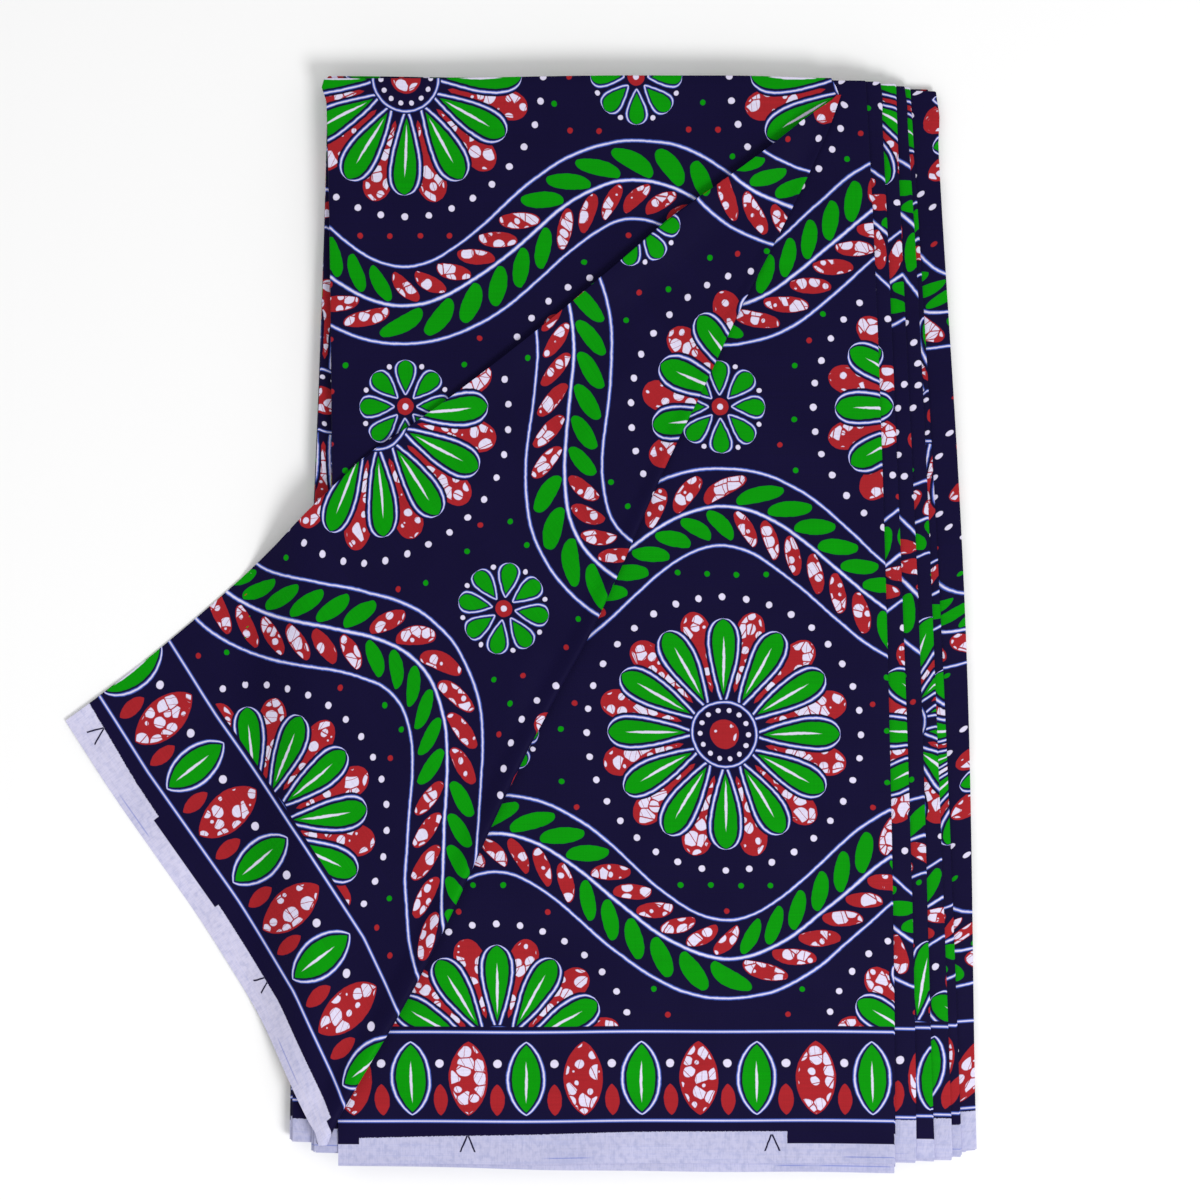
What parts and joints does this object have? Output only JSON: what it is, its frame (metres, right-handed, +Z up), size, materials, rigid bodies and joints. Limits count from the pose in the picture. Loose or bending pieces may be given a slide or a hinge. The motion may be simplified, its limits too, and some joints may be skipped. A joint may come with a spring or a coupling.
{
  "type": "folded length of african wax print fabric",
  "caption": "Length of wax print cotton folded into flat doubled leaves, with the loose end of the top leaf turned over and draped down beside the stack.",
  "frame": {"origin": "on the surface that the folded cloth rests on, below the middle of its outline", "axes": "+Y from the selvages towards the half fold, +Z up out of the surface, +X towards the stepped accordion folds"},
  "size_m": [0.4927, 0.59, 0.0234],
  "materials": {
    "printed_cotton": "crisp plain-weave cotton printed on both faces in navy, green, brick red and white, with a faint sheen"
  },
  "bodies": {
    "root": {"stack_core": "printed_cotton", "leaves_10_and_11": "printed_cotton", "leaves_8_and_9": "printed_cotton", "leaves_6_and_7": "printed_cotton", "leaves_4_and_5": "printed_cotton", "leaves_2_and_3": "printed_cotton", "top_leaf": "printed_cotton", "turned_corner": "printed_cotton"}
  },
  "joints": []
}
